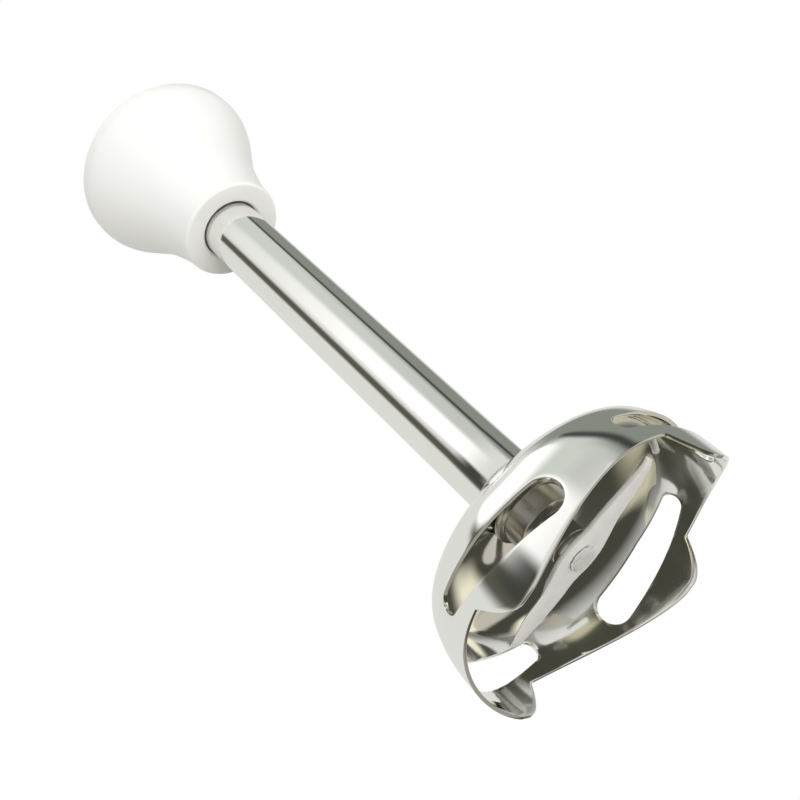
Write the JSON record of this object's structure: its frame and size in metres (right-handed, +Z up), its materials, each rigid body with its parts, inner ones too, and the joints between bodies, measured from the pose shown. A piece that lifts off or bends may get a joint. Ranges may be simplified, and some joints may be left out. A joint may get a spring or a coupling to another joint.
{
  "type": "immersion blender foot",
  "caption": "Detachable foot of an immersion blender: steel bell guard with slots, steel tube, white flared coupler, and a spindle that turns a knife inside the bell.",
  "frame": {"origin": "centre of the bell's rim, on the surface that its lobes stand on", "axes": "+Z up the tube to the coupler; +X and +Y across, with the first lobe 70 degrees round from +X"},
  "size_m": [0.074, 0.074, 0.2093],
  "materials": {
    "polished_steel": "stainless steel polished to a mirror",
    "knife_steel": "ground stainless steel",
    "ground_steel": "turned stainless steel",
    "spring_steel": "dark oiled spring steel",
    "bronze": "sintered bronze, oiled",
    "white_plastic": "satin moulded plastic",
    "grey_plastic": "moulded engineering plastic",
    "black_rubber": "smooth food-grade rubber",
    "felt": "oiled wool felt"
  },
  "bodies": {
    "foot": {"bell_guard": "polished_steel", "shaft_tube": "polished_steel", "bearing_housing": "ground_steel", "housing_gasket": "black_rubber", "housing_o_ring": "black_rubber", "lower_bush": "bronze", "felt_washer": "felt", "shaft_seal": "black_rubber", "shaft_guide": "grey_plastic", "coupler_shell": "white_plastic", "coupler_core": "grey_plastic", "coupler_seal_ring": "black_rubber", "tube_stop_ring": "ground_steel", "bearing_carrier": "grey_plastic", "upper_bush": "bronze", "coupler_screw_1": "ground_steel", "coupler_screw_2": "ground_steel", "coupler_screw_3": "ground_steel"},
    "spindle": {"drive_spindle": "ground_steel", "knife": "knife_steel", "knife_spacer": "ground_steel", "lower_thrust_washer": "ground_steel", "upper_thrust_washer": "ground_steel", "lower_circlip": "spring_steel", "upper_circlip": "spring_steel", "drive_dog": "grey_plastic", "dog_pin": "spring_steel"}
  },
  "joints": [
    {"name": "spindle_spin", "type": "hinge", "parent": "foot", "child": "spindle", "pos_m": [0, 0, 0.1], "axis": [0, 0, 1], "continuous": true}
  ]
}
